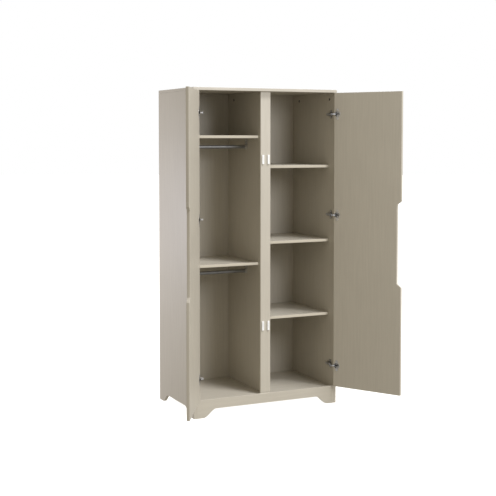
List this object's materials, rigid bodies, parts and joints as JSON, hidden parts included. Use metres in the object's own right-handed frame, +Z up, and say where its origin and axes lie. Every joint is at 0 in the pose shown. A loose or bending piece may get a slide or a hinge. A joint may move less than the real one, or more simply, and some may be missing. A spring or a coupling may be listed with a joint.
{
  "type": "wardrobe",
  "caption": "Tall wardrobe with inset swing doors on concealed hinges, hanging rails beside a column of shelves, and a plinth shaped into feet.",
  "frame": {"origin": "on the floor, under the middle of the box around the whole piece with its doors open as in the picture", "axes": "+Z up, -Y towards the front, +X to the right as seen from the front"},
  "size_m": [1.3022, 0.9212, 1.83],
  "materials": {
    "board": "smooth cream lacquer, satin",
    "door_board": "smooth cream lacquer, satin",
    "back_board": "cream coated thin board, matt",
    "rail_steel": "bright tube",
    "rail_bracket": "pale grey, satin",
    "catch": "white, satin",
    "hinge_steel": "nickel-plated pressed steel"
  },
  "bodies": {
    "carcass": {"bottom_panel": "board", "centre_partition": "board", "centre_stile": "board", "front_plinth": "board", "left_back_panel": "back_board", "left_lower_catch": "catch", "left_lower_hinge_arm": "hinge_steel", "left_lower_shelf": "board", "left_middle_hinge_arm": "hinge_steel", "left_side_panel": "board", "left_upper_catch": "catch", "left_upper_hinge_arm": "hinge_steel", "left_upper_shelf": "board", "lower_hanging_rail": "rail_steel", "lower_rail_bracket_inner": "rail_bracket", "lower_rail_bracket_outer": "rail_bracket", "rear_rail": "board", "right_back_panel": "back_board", "right_lower_catch": "catch", "right_lower_hinge_arm": "hinge_steel", "right_lower_shelf": "board", "right_middle_hinge_arm": "hinge_steel", "right_middle_shelf": "board", "right_side_panel": "board", "right_upper_catch": "catch", "right_upper_hinge_arm": "hinge_steel", "right_upper_shelf": "board", "top_panel": "board", "upper_hanging_rail": "rail_steel", "upper_rail_bracket_inner": "rail_bracket", "upper_rail_bracket_outer": "rail_bracket"},
    "left_door": {"left_door": "door_board", "left_lower_hinge_cup": "hinge_steel", "left_middle_hinge_cup": "hinge_steel", "left_upper_hinge_cup": "hinge_steel"},
    "right_door": {"right_door": "door_board", "right_lower_hinge_cup": "hinge_steel", "right_middle_hinge_cup": "hinge_steel", "right_upper_hinge_cup": "hinge_steel"},
    "left_outer_links": {"left_lower_outer_link": "hinge_steel", "left_middle_outer_link": "hinge_steel", "left_upper_outer_link": "hinge_steel"},
    "left_inner_links": {"left_lower_inner_link": "hinge_steel", "left_middle_inner_link": "hinge_steel", "left_upper_inner_link": "hinge_steel"},
    "right_outer_links": {"right_lower_outer_link": "hinge_steel", "right_middle_outer_link": "hinge_steel", "right_upper_outer_link": "hinge_steel"},
    "right_inner_links": {"right_lower_inner_link": "hinge_steel", "right_middle_inner_link": "hinge_steel", "right_upper_inner_link": "hinge_steel"}
  },
  "joints": [
    {"name": "left_door_swing", "type": "hinge", "parent": "carcass", "child": "left_door", "pos_m": [-0.437, -0.07321, 0], "axis": [0, 0, 1], "range_deg": [0, 120]},
    {"name": "left_outer_link_turn", "type": "hinge", "parent": "carcass", "child": "left_outer_links", "pos_m": [-0.4175, -0.04921, 0], "axis": [0, 0, 1], "range_deg": [0, 90]},
    {"name": "left_inner_link_turn", "type": "hinge", "parent": "left_outer_links", "child": "left_inner_links", "pos_m": [-0.40454, -0.08813, 0], "axis": [0, 0, 1], "range_deg": [-85, 0]},
    {"name": "right_door_swing", "type": "hinge", "parent": "carcass", "child": "right_door", "pos_m": [0.437, -0.07321, 0], "axis": [0, 0, -1], "range_deg": [0, 120]},
    {"name": "right_outer_link_turn", "type": "hinge", "parent": "carcass", "child": "right_outer_links", "pos_m": [0.4175, -0.04921, 0], "axis": [0, 0, -1], "range_deg": [0, 90]},
    {"name": "right_inner_link_turn", "type": "hinge", "parent": "right_outer_links", "child": "right_inner_links", "pos_m": [0.40454, -0.08813, 0], "axis": [0, 0, -1], "range_deg": [-85, 0]}
  ],
  "couplings": [
    {"joint": "left_outer_link_turn", "follows": "left_door_swing", "ratio": 0.75},
    {"joint": "left_inner_link_turn", "follows": "left_door_swing", "ratio": -0.70833},
    {"joint": "right_outer_link_turn", "follows": "right_door_swing", "ratio": 0.75},
    {"joint": "right_inner_link_turn", "follows": "right_door_swing", "ratio": -0.70833}
  ]
}
